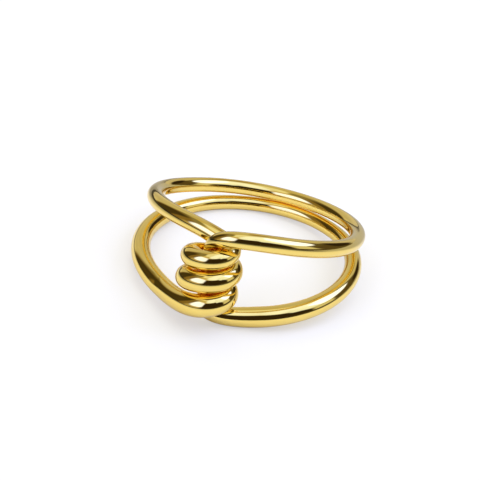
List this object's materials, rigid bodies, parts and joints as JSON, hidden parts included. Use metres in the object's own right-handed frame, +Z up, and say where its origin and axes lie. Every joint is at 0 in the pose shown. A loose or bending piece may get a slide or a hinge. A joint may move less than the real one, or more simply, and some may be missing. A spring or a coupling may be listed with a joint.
{
  "type": "knot ring",
  "caption": "Finger ring of one polished gold wire: two slim bands part at the sides and meet in a knot, where one strand runs down through the turns of the other.",
  "frame": {"origin": "on the table, under the middle of the ring's bounding box, as the ring lies on its side", "axes": "+Z up, close to the line of the finger; -Y towards the knot; +X to the right as one faces the knot"},
  "size_m": [0.0208, 0.024, 0.0098],
  "materials": {
    "gold": "high mirror polish, pale yellow gold plate over brass wire"
  },
  "bodies": {
    "root": {"ring_wire": "gold"}
  },
  "joints": []
}
